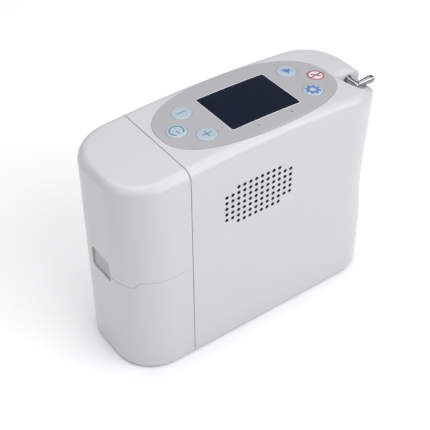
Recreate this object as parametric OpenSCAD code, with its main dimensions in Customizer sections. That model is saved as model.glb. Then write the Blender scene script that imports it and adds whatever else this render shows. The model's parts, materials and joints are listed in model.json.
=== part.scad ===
// Portable oxygen concentrator: a main unit and a battery pack that pulls off its end.
// Frame: +Z up, +X from the battery end to the outlet end, -Y the side with the exhaust grille.
// Places inside the modules are measured from the seam between the pack and the main unit.

/* [Body] */
// Width across the two long sides
body_w = 88; // [84:1:92]
// Height at the middle of the arched top, feet included
body_h = 177.2; // [176:0.2:180]
// Radius of the arch of the top, along the length
arch_r = 1000; // [900:50:1400]
// Length of the main unit, from the seam to the outlet end
main_len = 180.4; // [180:0.2:184]
// Length of the battery pack, from its end to the seam
pack_len = 50; // [50:1:56]
// Wall thickness of the housings
wall = 2.4; // [2:0.1:2.4]
// Plan corner radius at the battery end
near_r = 33; // [28:1:34]
// Plan corner radius at the outlet end
far_r = 33; // [30:1:34]
// Fillet along the top of the long sides
top_r = 8; // [7.5:0.5:9]
// Fillet along the top of the battery end
near_end_r = 6.8; // [6:0.2:7]
// Fillet along the top of the outlet end
end_r = 6; // [4:0.5:7]
// Fillet along the bottom edges
bottom_r = 3; // [2:0.5:4]
// How deep the waist of the outlet end is
waist = 3; // [1:0.5:3]
// Gap at the seam
seam_gap = 0.4; // [0.3:0.1:0.6]
// Height of the rubber feet below the base
foot_h = 1; // [0.8:0.1:1.5]

/* [Control panel] */
// Half length of the oval panel
panel_a = 75; // [72:0.5:75]
// Half width of the oval panel
panel_b = 38.6; // [36:0.2:39]
// Roundness exponent of the oval panel
panel_n = 2.4; // [2:0.1:3]
// Distance from the seam to the panel's centre
panel_x = 79; // [78:0.5:80]
// Panel sheet thickness
panel_t = 0.9; // [0.8:0.1:1.2]
// Visible length of the display
screen_l = 59.4; // [57:0.2:61]
// Visible width of the display
screen_w = 44.2; // [42:0.2:46]
// Radius of a key
key_r = 7.6; // [7:0.1:8]
// Travel of a key
key_travel = 0.4; // [0.2:0.1:0.4]

/* [Grille] */
// Columns of holes
grille_cols = 12; // [8:1:12]
// Rows of holes
grille_rows = 7; // [5:1:7]
// Distance between holes
grille_pitch = 5.15; // [5:0.05:5.3]
// Radius of a hole
grille_hole_r = 1.45; // [1.2:0.05:1.6]

/* [Outlet] */
// Radius of the scooped outlet channel
scoop_r = 24; // [22:0.5:25]
// Slope of the channel's floor, across the body
scoop_tilt = 20; // [15:1:22]
// Reach of the barb past the outlet end
barb_reach = 4.6; // [4:0.2:6]
// Radius of the barb at its root
barb_r = 2; // [1.8:0.1:2.2]
// Radius of the swivel hub
hub_r = 2.6; // [2.4:0.1:3]

/* [Compressor] */
// Throw of each eccentric
throw = 2.2; // [1.5:0.1:2.2]
// Cylinder bore radius
bore_r = 11; // [10:0.5:11]

/* [Hidden] */
$fn = 64;
hull_fn = 32;
eps = 0.02;
// Longer than any piece, for cuts that go right through.
through = 999;

// The origin is the bottom centre of the whole, so the seam lies this far along X.
seam_x = -(main_len + barb_reach - pack_len) / 2;
half_w = body_w / 2;
gap = seam_gap / 2;
slip = 0.1;
in_w = half_w - wall;
roof = wall + 0.2;
cavity_x = main_len - waist - wall;
parting_z = 88;

// The top is an arch about the middle of the body: its height and its slope at x.
arch_x = (main_len - pack_len) / 2;
function top_at(x) = body_h - arch_r + sqrt(arch_r * arch_r - (x - arch_x) * (x - arch_x));
function slope_at(x) = asin((x - arch_x) / arch_r);

// ---------- Shared shapes ----------

module at_seam() translate([seam_x, 0, 0]) children();

// A cylinder along X or Y, from a start point.
module rod_x(r, l) rotate([0, 90, 0]) cylinder(h = l, r = r);
module rod_y(r, l) rotate([-90, 0, 0]) cylinder(h = l, r = r);

// A box given by its lowest and highest corners.
module box(a, b) translate(a) cube(b - a);

// Rounded rectangle about the origin.
module round_rect(l, w, r) {
    translate([-l / 2 + r, -w / 2]) square([l - 2 * r, w]);
    translate([-l / 2, -w / 2 + r]) square([l, w - 2 * r]);
    for (x = [-1, 1], y = [-1, 1]) translate([x * (l / 2 - r), y * (w / 2 - r)]) circle(r);
}

// Cross-section of the body (Y across, Z up), with its top and bottom fillets.
module cross_section(w, low, high, top, bottom) {
    translate([-w, low + bottom]) square([2 * w, high - low - top - bottom]);
    translate([-w + top, high - top - 1]) square([2 * (w - top), top + 1]);
    translate([-w + bottom, low]) square([2 * (w - bottom), bottom + 1]);
    for (s = [-1, 1]) {
        translate([s * (w - top), high - top]) circle(top);
        translate([s * (w - bottom), low + bottom]) circle(bottom);
    }
}

module along_x(x0, x1) translate([x0, 0, 0]) rotate([90, 0, 90]) linear_extrude(x1 - x0) children();
module along_y(y0, y1) translate([0, y1, 0]) rotate([90, 0, 0]) linear_extrude(y1 - y0) children();

// Everything under the arched top, its long edges filleted, with an even offset inwards.
arch_depth = 200;
module under_arch(off) {
    high = arch_r - off;
    low = arch_r - arch_depth;
    w = half_w - off;
    fillet = top_r - off;
    translate([arch_x, 0, body_h - arch_r]) rotate([90, 0, 0]) rotate_extrude($fn = 360) {
        translate([low, -w]) square([high - fillet - low, 2 * w]);
        translate([low, -w + fillet]) square([high - low, 2 * (w - fillet)]);
        for (side = [-1, 1]) translate([high - fillet, side * (w - fillet)]) circle(fillet);
    }
}

// Round end with its top edge filleted, set square to the arch; below, it stands clear of the walls.
flare = 30;
module end_half_section(r, fillet) {
    polygon([[0, 0], [r - fillet, 0], [r, -fillet], [r + flare, -arch_depth], [0, -arch_depth]]);
    translate([r - fillet, -fillet]) circle(fillet);
}
module rounded_end(at, end, r, fillet, w, off) {
    lie = slope_at((at + end) / 2);
    reach = (r + fillet * sin(abs(lie))) / cos(lie);
    translate([at, 0, top_at(at) - off]) rotate([0, lie, 0]) rotate([0, 0, end > at ? 0 : 180]) {
        for (side = [-1, 1]) translate([0, side * (w - r), 0])
            rotate_extrude() end_half_section(reach, fillet);
        along_y(r - w, w - r) end_half_section(reach, fillet);
        box([-arch_depth, -body_w, -arch_depth], [0, body_w, arch_depth / 4]);
    }
}

// Lays a piece on the arched top, square to it.
module on_top(p) translate([p.x, p.y, top_at(p.x)]) rotate([0, slope_at(p.x), 0]) children();

// Plan of the main unit: square at the seam, round at the outlet end.
module main_plan(x0, x1, w, r) {
    translate([x0, -w]) square([x1 - r - x0, 2 * w]);
    translate([x0, -w + r]) square([x1 - x0, 2 * (w - r)]);
    for (s = [-1, 1]) translate([x1 - r, s * (w - r)]) circle(r);
}

// Oval outline of the control panel.
function oval(a, b, n, k) = [for (i = [0 : k - 1]) let (t = 360 * i / k, c = cos(t), s = sin(t))
    [sign(c) * a * pow(abs(c), 2 / n), sign(s) * b * pow(abs(s), 2 / n)]];

// Helix swept with an octagonal wire: springs and the cooling coil.
function helix_ring(r, wire, rise, turns, i, per) = let (t = 360 * i / per)
    [for (j = [0 : 7]) let (q = r + wire * cos(45 * j))
        [q * cos(t), q * sin(t), rise * i / (per * turns) + wire * sin(45 * j)]];
module helix(r, wire, rise, turns, per = 16) {
    n = per * turns;
    points = [for (i = [0 : n]) each helix_ring(r, wire, rise, turns, i, per)];
    sides = [for (i = [0 : n - 1], j = [0 : 7])
        [8 * i + j, 8 * i + (j + 1) % 8, 8 * i + 8 + (j + 1) % 8, 8 * i + 8 + j]];
    start = [[for (j = [7 : -1 : 0]) j]];
    end = [[for (j = [0 : 7]) 8 * n + j]];
    polyhedron(points = points, faces = concat(start, sides, end), convexity = 10);
}

// Hose along straight runs, with round corners.
module hose(route, r) {
    for (i = [0 : len(route) - 2]) {
        step = route[i + 1] - route[i];
        run = norm(step);
        turn = [0, acos(step.z / run), atan2(step.y, step.x)];
        translate(route[i]) rotate(turn) cylinder(h = run, r = r);
    }
    for (i = [1 : len(route) - 2]) translate(route[i]) sphere(r);
}

// ---------- Housing of the main unit ----------

// Inward shift of the outlet end at each height of the waist.
waist_steps = [[50, 0], [60, 0.25], [72, 0.75], [88, 1], [112, 0.9], [136, 0.45], [160, 0]];

module main_slice(i) {
    step = waist_steps[i];
    translate([0, 0, step[0]])
        linear_extrude(eps) main_plan(gap, main_len - waist * step[1], half_w, far_r, $fn = hull_fn);
}

module main_outer() {
    first = waist_steps[0][0];
    last = waist_steps[len(waist_steps) - 1][0];
    intersection() {
        union() {
            linear_extrude(first + eps) main_plan(gap, main_len, half_w, far_r);
            translate([0, 0, last]) linear_extrude(body_h - last) main_plan(gap, main_len, half_w, far_r);
            for (i = [0 : len(waist_steps) - 2]) hull() {
                main_slice(i);
                main_slice(i + 1);
            }
        }
        along_x(-1, main_len + 1) cross_section(half_w, foot_h, 2 * body_h, top_r, bottom_r);
        under_arch(0);
        rounded_end(main_len - far_r, main_len, far_r, end_r, half_w, 0);
    }
}

module main_cavity() {
    intersection() {
        translate([0, 0, -1]) linear_extrude(body_h) main_plan(-1, cavity_x, in_w, far_r - wall);
        translate([0, 0, wall - roof]) under_arch(wall);
    }
}

// Scooped channel that the outlet barb lies in: one upright wall, and a floor that climbs to the corner.
scoop_x = main_len - 4;
scoop_y1 = -8;
arm_y = -18.2;
bush_z = 165;
floor_drop = 4.2;
module scoop(grow) intersection() {
    box([scoop_x - body_w, -body_w, 0], [main_len + body_w, scoop_y1 + grow, 2 * body_h]);
    translate([scoop_x, arm_y, bush_z]) rotate([-scoop_tilt, 0, 0]) translate([0, 0, scoop_r - floor_drop]) {
        translate([0, -body_w, 0]) rod_y(scoop_r + grow, 2 * body_w);
        box([0, -body_w, -scoop_r - grow], [body_w, body_w, scoop_r]);
    }
}

// Grille holes; the two outer columns on each side lack the first and last row.
grille_x = 29.4;
grille_z = 145.2;
module grille_holes(y0, y1) {
    for (c = [0 : grille_cols - 1], r = [0 : grille_rows - 1]) {
        edge_col = c < 2 || c > grille_cols - 3;
        edge_row = r == 0 || r == grille_rows - 1;
        if (!(edge_col && edge_row))
            translate([grille_x + c * grille_pitch, y0, grille_z - r * grille_pitch])
                rod_y(grille_hole_r, y1 - y0);
    }
}

key_at = [[32.6, 15], [17.9, -0.5], [32.6, -16], [127.5, 15.5], [127.5, -15.5]];
led_at = [[67, -29.4], [96.5, -29.4]];
led_r = 1.5;
badge_at = [143, -0.5];
badge_r = 6.2;
screen_at = [79.5, -0.8];
stem_r = 2.5;
deep = 20;
shell_boss_at = [[26, 38], [112, 38], [26, -38], [112, -38]];
pcb_boss_at = [[12, 29], [144, 24], [12, -29], [144, -29]];
pcb_top = 163;
lcd_top = 172;
jack_z = 36;
jack_r = 5.6;
bush_x = 168.6;
bush_r = 3.95;

// The panel's oval, standing through the top, and the layer of the top that it lies in.
module panel_prism(less) translate([panel_x, 0, pcb_top]) linear_extrude(deep)
    polygon(oval(panel_a - less, panel_b - less, panel_n, 96));
module screen_prism(low, l, w, r) translate([screen_at.x, screen_at.y, low])
    linear_extrude(deep) round_rect(l, w, r);

module main_shell() color("whitesmoke") at_seam() difference() {
    main_outer();
    difference() {
        main_cavity();
        scoop(wall);
        for (p = shell_boss_at) translate([p.x, p.y, foot_h + 3]) cylinder(h = 16, r = 4);
        for (p = pcb_boss_at) translate([p.x, p.y, pcb_top]) cylinder(h = deep, r = 3);
    }
    scoop(0);
    grille_holes(-half_w - 1, -in_w + 1);
    grille_holes(in_w - 1, half_w + 1);
    difference() {
        panel_prism(0);
        under_arch(panel_t);
    }
    screen_prism(pcb_top, screen_l, screen_w, 2.5);
    for (p = key_at) on_top(p) translate([0, 0, -deep / 2]) cylinder(h = deep, r = stem_r + 0.4);
    for (p = led_at) translate([p.x, p.y, pcb_top]) cylinder(h = deep, r = led_r + slip);
    for (p = shell_boss_at) translate([p.x, p.y, foot_h + 2]) cylinder(h = 9, r = 1.5);
    translate([cavity_x - 1, 0, jack_z]) rod_x(jack_r + 0.05, 9);
    translate([bush_x, scoop_y1 - 1, bush_z]) rod_y(bush_r, wall + 2);
}

base_low = foot_h;
base_high = foot_h + 3;
foot_at = [[18, 30], [150, 26], [18, -30], [150, -26]];
foot_r = 6;
foot_sunk = 0.8;
head_r = 3;
module base_plate() color("gainsboro") at_seam() difference() {
    translate([0, 0, base_low]) linear_extrude(base_high - base_low)
        main_plan(gap + slip, cavity_x - slip, in_w - slip, far_r - wall);
    for (p = foot_at) translate([p.x, p.y, base_low - 1]) cylinder(h = 1 + foot_sunk, r = foot_r);
    for (p = shell_boss_at) translate([p.x, p.y, 0]) {
        cylinder(h = base_low + 1.6, r = head_r + 0.1);
        cylinder(h = 9, r = 1.6);
    }
}

module rubber_feet() color("dimgray") at_seam()
    for (p = foot_at) translate([p.x, p.y, 0]) {
        cylinder(h = 0.4, r1 = foot_r - 0.8, r2 = foot_r - 0.4);
        translate([0, 0, 0.4]) cylinder(h = base_low + foot_sunk - 0.4, r = foot_r - 0.4);
    }

module base_screws() color("silver") at_seam()
    for (p = shell_boss_at) translate([p.x, p.y, base_low + 0.1]) difference() {
        union() {
            cylinder(h = 1.4, r = head_r);
            cylinder(h = 8, r = 1.4);
        }
        translate([0, 0, -1]) cylinder(h = 2, r = 1.2, $fn = 6);
    }

// Bulkhead that closes the main unit at the seam, with the pack's sockets through it.
pin_z = [22, 150];
pin_r = 4;
window_w = 16;
latch_z = parting_z;
contact_z = 40;
bulk_x0 = gap + slip;
bulk_x1 = bulk_x0 + 2;
module seam_bulkhead() color("lightgray") at_seam() difference() {
    along_x(bulk_x0, bulk_x1)
        cross_section(in_w - slip, base_high, top_at(bulk_x0) - roof - slip, top_r - wall, 1);
    for (z = pin_z) translate([-1, 0, z]) rod_x(pin_r + 0.3, 9);
    box([-1, -window_w, latch_z - 8], [9, window_w, latch_z + 8]);
    box([-1, -window_w + 2, contact_z - 6], [9, window_w - 2, contact_z + 6]);
}

blade_y = [-12, -4, 4, 12];
module contact_receptacle() color("black") at_seam() difference() {
    box([bulk_x1, -18, contact_z - 10], [13, 18, contact_z + 10]);
    for (y = blade_y) box([-1, y - 1, contact_z - 4], [10, y + 1, contact_z + 4]);
}

// Spring clip that snaps into the notches of the pack's two lugs.
clip_x = 10;
lug_y = 13;
notch_r = 1.2;
notch_x = 6;
module catch_clip() color("silver") at_seam() {
    box([clip_x, -lug_y - 1.8, latch_z - 5], [clip_x + 0.6, lug_y + 1.8, latch_z + 5]);
    for (s = [-1, 1]) {
        y = s * (lug_y + 1.2);
        translate([bulk_x1, y - 0.3, latch_z - 5]) cube([clip_x - bulk_x1, 0.6, 10]);
        translate([bulk_x1, s * (lug_y + 3.5) - 2.5, latch_z - 5]) cube([0.6, 5, 10]);
        translate([notch_x, s * (lug_y + 0.6), latch_z - 5]) cylinder(h = 10, r = notch_r - 0.1);
    }
}

// ---------- Control panel ----------

proud = 0.15;
module panel_overlay() color("silver") at_seam() difference() {
    intersection() {
        panel_prism(slip);
        under_arch(-proud);
    }
    under_arch(panel_t);
    screen_prism(pcb_top, screen_l + 2, screen_w + 2, 3.5);
    for (p = key_at) on_top(p) translate([0, 0, -deep / 2]) cylinder(h = deep, r = key_r + 0.3);
    for (p = led_at) translate([p.x, p.y, pcb_top]) cylinder(h = deep, r = led_r + slip);
    on_top(badge_at) translate([0, 0, -deep / 2]) cylinder(h = deep, r = badge_r);
}

rim_proud = 0.25;
module display_bezel() color("white") at_seam() difference() {
    intersection() {
        screen_prism(pcb_top, screen_l + 2, screen_w + 2, 3.5);
        under_arch(-rim_proud);
    }
    under_arch(panel_t);
    screen_prism(pcb_top - 1, screen_l, screen_w, 2.5);
}

module display_window() color("midnightblue") at_seam() intersection() {
    screen_prism(lcd_top, screen_l - 0.1, screen_w - 0.1, 2.45);
    under_arch(-0.1);
}

module lcd_module() color("dimgray") at_seam() translate([screen_at.x, screen_at.y, 0])
    box([-33, -25, pcb_top], [33, 25, lcd_top]);

module display_pcb() color("darkgreen") at_seam() difference() {
    box([8, -33, pcb_top - 1.6], [148, 33, pcb_top]);
    for (p = pcb_boss_at) translate([p.x, p.y, 0]) cylinder(h = through, r = 1.5);
}

stem_deep = 4;
dome_l = 7;
module dome_switches() color("black") at_seam() for (p = key_at) {
    translate([p.x, p.y, pcb_top]) cylinder(h = 4, r = 4);
    on_top(p) translate([0, 0, -stem_deep - key_travel - 0.1 - dome_l]) cylinder(h = dome_l, r = 2);
}

module status_leds() color("palegreen") at_seam() for (p = led_at)
    translate([p.x, p.y, pcb_top]) cylinder(h = top_at(p.x) - pcb_top + 0.1, r = led_r);

module warning_badge() color("firebrick") at_seam()
    on_top(badge_at) translate([0, 0, -panel_t]) cylinder(h = panel_t + rim_proud, r = badge_r - 0.05);

// A key: a low domed cap on a stem that reaches its switch.
key_low = -0.4;
module key(i) at_seam() on_top(key_at[i]) {
    translate([0, 0, key_low]) cylinder(h = 0.6, r = key_r);
    translate([0, 0, key_low + 0.6]) cylinder(h = 0.4, r1 = key_r, r2 = key_r - 1.4);
    translate([0, 0, -stem_deep]) cylinder(h = stem_deep, r = stem_r);
}
module key_minus() color("lightblue") key(0);
module key_power() color("lightblue") key(1);
module key_plus() color("lightblue") key(2);
module key_bell() color("lightblue") key(3);
module key_settings() color("lightblue") key(4);

// ---------- Oxygen outlet ----------

hub_in = -2.8;
chamber_y = 0.3;
bush_in = 2;
port_y = -1.2;
groove_y = -4.6;
ring_w = 0.4;
module outlet_bush() color("dimgray") at_seam() translate([bush_x, 0, bush_z]) difference() {
    union() {
        translate([0, scoop_y1, 0]) rod_y(bush_r, bush_in - scoop_y1);
        translate([0, port_y, -bush_r - 3]) cylinder(h = bush_r + 1, r = 1.8);
    }
    translate([0, scoop_y1 - 1, 0]) rod_y(hub_r + 0.05, chamber_y - scoop_y1 + 1);
    translate([0, groove_y - ring_w - 0.1, 0]) rod_y(hub_r + 2 * ring_w + 0.1, 2 * ring_w + 0.2);
    translate([0, port_y, -bush_r - 4]) cylinder(h = bush_r + 3, r = 0.9);
}

// Swivel elbow: hub across the channel, then the barb out over the end.
gas_r = 1.1;
tip_x = main_len + barb_reach;
crest_r = 3.1;
lip_l = 1.2;
land_l = 3;
module nozzle_elbow() color("silver") at_seam() difference() {
    union() {
        translate([bush_x, arm_y, bush_z]) {
            rod_y(hub_r, hub_in - arm_y);
            sphere(hub_r);
            rotate([0, 90, 0]) cylinder(h = tip_x - lip_l - land_l - bush_x, r1 = barb_r, r2 = crest_r);
        }
        translate([tip_x - lip_l - land_l, arm_y, bush_z]) rod_x(crest_r, land_l);
        translate([tip_x - lip_l, arm_y, bush_z])
            rotate([0, 90, 0]) cylinder(h = lip_l, r1 = crest_r, r2 = crest_r - 0.8);
        translate([bush_x, scoop_y1 - 1, bush_z]) rod_y(hub_r + 0.9, 0.8);
    }
    translate([bush_x, arm_y, bush_z]) {
        rod_x(gas_r, through);
        rod_y(gas_r, through);
    }
    translate([bush_x, groove_y - ring_w, bush_z]) difference() {
        rod_y(hub_r + 1, 2 * ring_w);
        translate([0, -1, 0]) rod_y(hub_r - 0.05, 9);
    }
}

module nozzle_o_ring() color("black") at_seam() translate([bush_x, groove_y, bush_z])
    rotate([90, 0, 0]) rotate_extrude() translate([hub_r + ring_w, 0]) circle(ring_w, $fn = 24);

// ---------- Compressor ----------

crank_x = 60;
crank_z = 46;
case_half = 18;
tray_low = 9;
tray_high = 11;
isolator_at = [[46, 12], [74, 12], [46, -12], [74, -12]];
isolator_r = 5.5;
isolator_neck = 3;
module chassis_tray() color("gray") at_seam() difference() {
    union() {
        box([6, -32, tray_low], [125, 32, tray_high]);
        for (x = [10, 60, 121], y = [-28, 28])
            translate([x, y, base_high]) cylinder(h = tray_low - base_high, r = 4);
        for (y = [-32, 30]) box([6, y, tray_high], [108, y + 2, tray_high + 3]);
    }
    for (p = isolator_at) translate([p.x, p.y, 0]) cylinder(h = through, r = isolator_neck);
}

module isolator_mounts() color("black") at_seam()
    for (p = isolator_at) translate([p.x, p.y, tray_high]) {
        cylinder(h = 4, r = isolator_r);
        translate([0, 0, 4]) cylinder(h = 5, r = isolator_r - 1.5);
        translate([0, 0, 9]) cylinder(h = crank_z - case_half - tray_high - 9, r = isolator_r);
        translate([0, 0, -3]) cylinder(h = 3, r = isolator_neck - 0.05);
    }

shaft_r = 3;
bearing_r = 6.5;
ecc_r = 5.5;
big_end_in = ecc_r + 2 * throw + 0.4;
big_end_out = big_end_in + 2;
liner_out = bore_r + 2.5;
module at_crank() at_seam() translate([crank_x, 0, crank_z]) children();

module crankcase() color("lightslategray") at_crank() difference() {
    box([-case_half, -16, -case_half], [case_half, 16, case_half]);
    translate([0, -11.9, 0]) rod_y(big_end_out + throw + 0.4, 23.8);
    translate([-through / 2, 0, 0]) rod_x(bore_r, through);
    translate([0, -through / 2, 0]) rod_y(bearing_r, through);
}

module shaft_bearings() color("silver") at_crank() for (y = [-16, 12]) translate([0, y, 0]) difference() {
    rod_y(bearing_r, 4);
    translate([0, -1, 0]) rod_y(shaft_r + 0.05, 9);
    translate([0, -1, 0]) difference() {
        rod_y(5.4, 1.5);
        rod_y(4.2, 1.5);
    }
}

liner_x = case_half;
liner_l = 16;
module cylinder_liners() color("silver") at_crank() for (s = [0, 180]) rotate([0, 0, s])
    translate([liner_x, 0, 0]) difference() {
        rod_x(liner_out, liner_l);
        translate([-1, 0, 0]) rod_x(bore_r, liner_l + 2);
    }

head_x = liner_x + liner_l;
head_l = 10;
head_half = 15;
module cylinder_heads() color("lightslategray") at_crank() for (s = [0, 180]) rotate([0, 0, s]) {
    difference() {
        box([head_x, -head_half, -head_half], [head_x + head_l, head_half, head_half]);
        for (y = [-12 : 6 : 12]) box([head_x + 5, y - 1.5, -16], [head_x + 11, y + 1.5, 16]);
    }
    translate([head_x + 2.5, 0, head_half]) cylinder(h = 3, r = 2);
}

motor_y = 16;
motor_l = 14;
stator_r = 20;
rotor_r = 11.9;
module motor_stator() color("peru") at_crank() translate([0, motor_y, 0]) difference() {
    rod_y(stator_r, motor_l);
    translate([0, -1, 0]) rod_y(rotor_r + 0.4, motor_l + 2);
    for (a = [0 : 40 : 320]) rotate([0, a, 0]) box([11, -1, -1.2], [17, motor_l + 1, 1.2]);
}

module motor_rotor() color("dimgray") at_crank() translate([0, motor_y + 1, 0]) difference() {
    rod_y(rotor_r, motor_l - 2);
    translate([0, -1, 0]) rod_y(shaft_r, motor_l);
    for (a = [0 : 60 : 300]) rotate([0, a, 0]) translate([8, -1, 0]) rod_y(1.8, motor_l);
}

// Shaft with two eccentrics half a turn apart, mid-stroke at rest.
module crankshaft() color("silver") at_crank() {
    translate([0, -19, 0]) rod_y(shaft_r, 19 + motor_y + motor_l + 3);
    translate([0, -8, throw]) rod_y(ecc_r, 6);
    translate([0, 2, -throw]) rod_y(ecc_r, 6);
    for (s = [-1, 1]) translate([0, s * 10 - 0.7, 0]) difference() {
        rod_y(9, 1.4);
        box([-10, -1, s < 0 ? 0 : -10], [10, 3, s < 0 ? 10 : 0]);
        translate([0, -1, 0]) rod_y(shaft_r, 4);
    }
}

// Wobble piston; its big end keeps room round the eccentric.
piston_top_x = 26;
module wobble_piston(y0) {
    difference() {
        union() {
            translate([0, y0, 0]) rod_y(big_end_out, 5);
            box([0, y0, -3.5], [piston_top_x, y0 + 5, 3.5]);
        }
        translate([0, y0 - 1, 0]) rod_y(big_end_in, 7);
    }
    translate([piston_top_x, 0, 0]) rod_x(bore_r - 0.1, 4);
}
module piston_left() color("gainsboro") at_crank() rotate([0, 0, 180]) wobble_piston(2.5);
module piston_right() color("gainsboro") at_crank() wobble_piston(2.5);

// ---------- Cooling ----------

fan_x = grille_x + (grille_cols - 1) * grille_pitch / 2;
fan_z = grille_z - (grille_rows - 1) * grille_pitch / 2;
fan_half = 20;
fan_duct_r = 18.5;
fan_hub_r = 7.5;
fan_pin_r = 1;
fan_y0 = -in_w + slip;
module at_fan() at_seam() translate([fan_x, fan_y0, fan_z]) children();

module fan_frame() color("black") at_fan() {
    difference() {
        box([-fan_half, 0, -fan_half], [fan_half, 10, fan_half]);
        translate([0, -1, 0]) rod_y(fan_duct_r, 12);
        for (x = [-16, 16], z = [-16, 16]) translate([x, -1, z]) rod_y(1.6, 12);
    }
    translate([0, 8, 0]) rod_y(8, 2);
    for (a = [30, 150, 270]) rotate([0, a, 0]) box([6, 8.2, -1], [19, 9.8, 1]);
    translate([0, 3, 0]) rod_y(fan_pin_r, 5);
}

module fan_impeller() color("dimgray") at_fan() {
    difference() {
        translate([0, 1, 0]) rod_y(fan_hub_r, 6.4);
        translate([0, 2.6, 0]) rod_y(fan_pin_r + 0.05, 9);
    }
    for (a = [0 : 360 / 7 : 359]) rotate([0, a, 0]) translate([7, 4.2, 0]) rotate([38, 0, 0])
        box([0, -3, -0.5], [10.6, 3, 0.5]);
}

coil_r = 15;
module cooling_coil() color("peru") at_seam()
    translate([fan_x, -28, fan_z]) rotate([-90, 0, 0]) helix(coil_r, 2, 14, 3);

// ---------- Sieve beds and valves ----------

bed_x = 146;
bed_y = 20;
bed_r = 17;
bed_low = 24;
bed_high = 146;
bed_in = bed_r - 1.6;
spring_low = 132;
module at_beds() for (s = [-1, 1]) at_seam() translate([bed_x, s * bed_y, 0]) children();

module sieve_columns() color("lightsteelblue") at_beds() difference() {
    translate([0, 0, bed_low]) cylinder(h = bed_high - bed_low, r = bed_r);
    cylinder(h = through, r = bed_in);
}

module zeolite_beds() color("tan") at_beds()
    translate([0, 0, bed_low]) cylinder(h = spring_low - bed_low, r = bed_in);

module bed_springs() color("silver") at_beds()
    translate([0, 0, spring_low + 1.1]) helix(12, 1, bed_high - spring_low - 2.2, 3);

module column_caps() color("gray") at_beds() {
    translate([0, 0, bed_high]) cylinder(h = 5, r = bed_r);
    translate([0, 0, bed_high + 5]) cylinder(h = 3, r = 2);
}

module valve_manifold() color("slategray") at_seam() difference() {
    union() {
        box([128, -33, 12], [160, 33, bed_low]);
        for (x = [133, 155], y = [-26, 26]) translate([x, y, base_high]) cylinder(h = 12 - base_high, r = 4);
    }
    for (y = [-27, -9, 9, 27]) translate([127, y, 18]) rod_x(1.5, 12);
    translate([132, 0, 18]) cylinder(h = 9, r = 1.4);
}

module solenoid_valves() color("darkslateblue") at_seam() for (y = [-27, -9, 9, 27]) translate([0, y, 18]) {
    translate([112, 0, 0]) rod_x(6, 12);
    box([124, -6.5, -6], [128, 6.5, 6]);
}

// ---------- Product gas ----------

tank_y = 22;
tank_z = 98;
tank_r = 14;
module product_tank() color("lightsteelblue") at_seam() translate([14, tank_y, tank_z]) {
    rotate([0, 90, 0]) cylinder(h = 4, r1 = tank_r - 4, r2 = tank_r);
    translate([4, 0, 0]) rod_x(tank_r, 82);
    translate([86, 0, 0]) rotate([0, 90, 0]) cylinder(h = 4, r1 = tank_r, r2 = tank_r - 4);
    translate([90, 0, 0]) rod_x(2, 3);
}

module pulse_valve() color("darkslateblue") at_seam() {
    box([111, -30, 118], [125, -10, 136]);
    translate([118, -20, 136]) cylinder(h = 6, r = 6);
    translate([118, -20, 142]) cylinder(h = 3, r = 2);
}

module oxygen_sensor() color("white") at_seam() {
    box([113, 8, 118], [126, 28, 136]);
    for (y = [13, 23]) translate([119.5, y, 136]) cylinder(h = 4, r = 2);
}

hose_r = 2.4;
duct_low = 154;
duct_high = 157.4;
join_z = 70;
head_port_z = crank_z + 18;
module hose_arch(x, end) hose([[x, 0, head_port_z], [x, 0, join_z], each end], hose_r);
module air_hoses() color("ivory") at_seam() {
    hose_arch(crank_x - head_x - 2.5, [[crank_x + head_x + 2.5, 0, join_z]]);
    hose_arch(crank_x + head_x + 2.5, [[132, 0, join_z], [132, 0, bed_low]]);
    hose([[bed_x, bed_y, bed_high + 8], [bed_x, bed_y, duct_high], [109.6, bed_y, duct_high],
          [109.6, tank_y, duct_high], [109.6, tank_y, tank_z], [107, tank_y, tank_z]], hose_r);
    hose([[118, -20, 145], [118, -20, duct_low], [118, port_y, duct_low],
          [bush_x, port_y, duct_low], [bush_x, port_y, bush_z - bush_r - 3]], hose_r);
}

// ---------- Electronics and air intake ----------

module main_pcb() color("darkgreen") at_seam() {
    box([12, -2, 74], [104, -0.4, 150]);
    for (x = [16 : 16 : 80]) translate([x, -10, 80]) box([0, 0, 0], [11, 8, 11]);
    for (x = [18 : 18 : 90]) translate([x, -13, 100]) rod_y(4, 11);
    box([84, -12, 112], [100, -2, 140]);
}

module intake_filter() color("darkgray") at_seam() box([27, 37.2, 112], [88, in_w - slip, 148]);

module intake_muffler() color("gray") at_seam() difference() {
    box([30, 8, 116], [86, 37.2, 150]);
    box([32, 10, 118], [84, 37.3, 148]);
    translate([58, 0, 133]) rod_y(3, 11);
}

jack_l = 16;
socket_r = 2.85;
module dc_jack() color("black") at_seam() translate([0, 0, jack_z]) {
    difference() {
        translate([main_len - jack_l, 0, 0]) rod_x(jack_r, jack_l - 0.4);
        translate([main_len - 10, 0, 0]) rod_x(socket_r, through);
    }
    translate([main_len - 11, 0, 0]) rod_x(1, 7.5);
}

// ---------- Battery pack ----------

// Solid of the pack with an even offset inwards.
module pack_profile(r, low, bottom) {
    translate([0, low + bottom]) square([r, 2 * body_h]);
    translate([0, low]) square([r - bottom, bottom + 1]);
    translate([r - bottom, low + bottom]) circle(bottom);
}
module pack_solid(off, x1) {
    r = near_r - off;
    w = half_w - off;
    low = foot_h + off;
    bottom = max(bottom_r - off, 0.6);
    cx = -pack_len + near_r;
    intersection() {
        union() {
            along_x(cx, x1) cross_section(w, low, 2 * body_h, top_r, bottom);
            for (side = [-1, 1]) translate([cx, side * (w - r), 0])
                rotate_extrude() pack_profile(r, low, bottom);
            translate([cx, 0, 0]) mirror([1, 0, 0]) along_y(r - w, w - r) pack_profile(r, low, bottom);
        }
        box([-pack_len - 1, -body_w, 0], [x1, body_w, 2 * body_h]);
        under_arch(off);
        rounded_end(cx, -pack_len, r, near_end_r - off, w, off);
    }
}

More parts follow.
